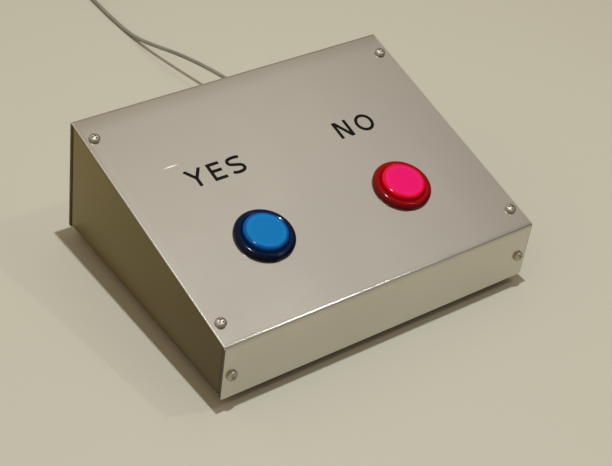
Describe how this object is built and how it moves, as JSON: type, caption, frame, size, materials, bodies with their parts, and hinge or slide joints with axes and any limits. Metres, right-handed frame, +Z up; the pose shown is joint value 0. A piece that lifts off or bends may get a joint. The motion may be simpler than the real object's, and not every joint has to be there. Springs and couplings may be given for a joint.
{
  "type": "feedback button box",
  "caption": "Sloped counter box of bent metal with a blue YES and a red NO push button and a thin lead from its back.",
  "frame": {"origin": "on the table under the middle of the box, at the feet's lowest plane", "axes": "+X to the right of a person who faces the front, +Y towards the back, +Z up"},
  "size_m": [0.2348, 0.4139, 0.0756],
  "materials": {
    "cover_aluminium": "satin rolled sheet",
    "pan_paint": "satin olive bronze",
    "screw_steel": "zinc plated",
    "foot_rubber": "matt black",
    "legend_film": "dark film",
    "natural_nylon": "moulded",
    "brass": "plain",
    "black_pvc": "extruded",
    "blue_pvc": "extruded",
    "red_pvc": "extruded",
    "white_pvc": "extruded",
    "gland_rubber": "moulded",
    "cable_pvc": "extruded, mid grey",
    "plug_plastic": "moulded",
    "nickel": "nickel plated",
    "blue_rim": "deep translucent blue",
    "blue_cap": "translucent blue",
    "red_rim": "deep translucent red",
    "red_cap": "translucent red",
    "white_plastic": "moulded",
    "spring_steel": "plain",
    "black_nylon": "moulded",
    "red_plastic": "moulded"
  },
  "bodies": {
    "case": {"cover": "cover_aluminium", "pan": "pan_paint", "panel_screws": "screw_steel", "front_screws": "screw_steel", "back_screws": "screw_steel", "clinch_nuts": "screw_steel", "rubber_feet": "foot_rubber", "foot_screws": "screw_steel", "foot_nuts": "screw_steel", "legend_yes": "legend_film", "legend_no": "legend_film", "terminal_strip": "natural_nylon", "terminal_tubes": "brass", "clamp_screws": "screw_steel", "strip_screws": "screw_steel", "strip_nuts": "screw_steel", "common_wires": "black_pvc", "blue_wire": "blue_pvc", "red_wire": "red_pvc", "gland": "gland_rubber", "cable_in_case": "cable_pvc", "tie_mount": "natural_nylon", "cable_tie": "natural_nylon", "cable_cores": "white_pvc", "cable": "cable_pvc", "cable_coil": "cable_pvc", "cable_tail": "cable_pvc", "plug_grip": "plug_plastic", "plug_contacts": "nickel", "plug_rings": "plug_plastic", "blue_bezel": "blue_rim", "blue_ring_nut": "blue_rim", "blue_return_spring": "spring_steel", "blue_switch_holder": "black_nylon", "blue_switch_body": "black_nylon", "blue_switch_tabs": "brass", "blue_tab_sleeves": "natural_nylon", "red_bezel": "red_rim", "red_ring_nut": "red_rim", "red_return_spring": "spring_steel", "red_switch_holder": "black_nylon", "red_switch_body": "black_nylon", "red_switch_tabs": "brass", "red_tab_sleeves": "natural_nylon"},
    "blue_button": {"blue_plunger_cap": "blue_cap", "blue_plunger_core": "white_plastic"},
    "blue_lever": {"blue_switch_lever": "spring_steel"},
    "blue_pin": {"blue_switch_pin": "red_plastic"},
    "red_button": {"red_plunger_cap": "red_cap", "red_plunger_core": "white_plastic"},
    "red_lever": {"red_switch_lever": "spring_steel"},
    "red_pin": {"red_switch_pin": "red_plastic"}
  },
  "joints": [
    {"name": "blue_button_press", "type": "slide", "parent": "case", "child": "blue_button", "axis": [0, 0.2274, -0.9738], "range_m": [0, 0.0026], "stiffness_N_per_m": 250, "springref_m": -0.004, "deforming": ["blue_return_spring"]},
    {"name": "blue_lever_swing", "type": "hinge", "parent": "case", "child": "blue_lever", "pos_m": [-0.033, -0.02228, 0.03343], "axis": [0, -0.9738, -0.2274], "range_deg": [0, 12.5]},
    {"name": "blue_pin_press", "type": "slide", "parent": "case", "child": "blue_pin", "axis": [0, 0.2274, -0.9738], "range_m": [0, 0.0009]},
    {"name": "red_button_press", "type": "slide", "parent": "case", "child": "red_button", "axis": [0, 0.2274, -0.9738], "range_m": [0, 0.0026], "stiffness_N_per_m": 250, "springref_m": -0.004, "deforming": ["red_return_spring"]},
    {"name": "red_lever_swing", "type": "hinge", "parent": "case", "child": "red_lever", "pos_m": [0.033, -0.02228, 0.03343], "axis": [0, 0.9738, 0.2274], "range_deg": [0, 12.5]},
    {"name": "red_pin_press", "type": "slide", "parent": "case", "child": "red_pin", "axis": [0, 0.2274, -0.9738], "range_m": [0, 0.0009]}
  ],
  "couplings": [
    {"joint": "blue_lever_swing", "follows": "blue_button_press", "rad_per_m": 83.333},
    {"joint": "blue_pin_press", "follows": "blue_button_press", "ratio": 0.33333},
    {"joint": "red_lever_swing", "follows": "red_button_press", "rad_per_m": 83.333},
    {"joint": "red_pin_press", "follows": "red_button_press", "ratio": 0.33333}
  ]
}
